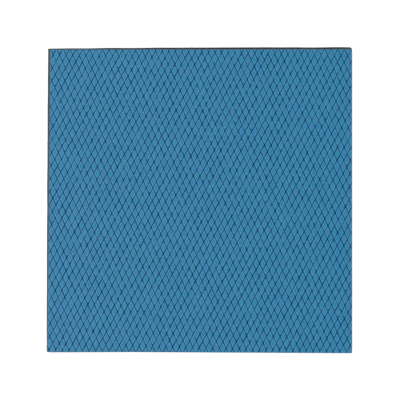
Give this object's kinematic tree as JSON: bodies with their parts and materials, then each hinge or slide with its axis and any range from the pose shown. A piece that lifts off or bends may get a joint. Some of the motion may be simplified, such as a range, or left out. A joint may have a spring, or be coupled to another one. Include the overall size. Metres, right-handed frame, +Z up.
{
  "type": "thermal pad sheet",
  "caption": "Square sheet of soft silicone gap-filler pad under a blue diamond-embossed release liner, cut up to fill gaps between circuit parts and heatsinks.",
  "frame": {"origin": "middle of the pad's underside, leans included, on the surface that the sheet lies on", "axes": "+Z up through the sheet, out of the liner; +X along the sheet's width, to the picture's right; +Y along its length, to the picture's top"},
  "size_m": [0.2308, 0.231, 0.0044],
  "materials": {
    "filled_silicone": "matte",
    "blue_film": "satin"
  },
  "bodies": {
    "root": {"silicone_pad": "filled_silicone", "embossed_liner": "blue_film"}
  },
  "joints": []
}
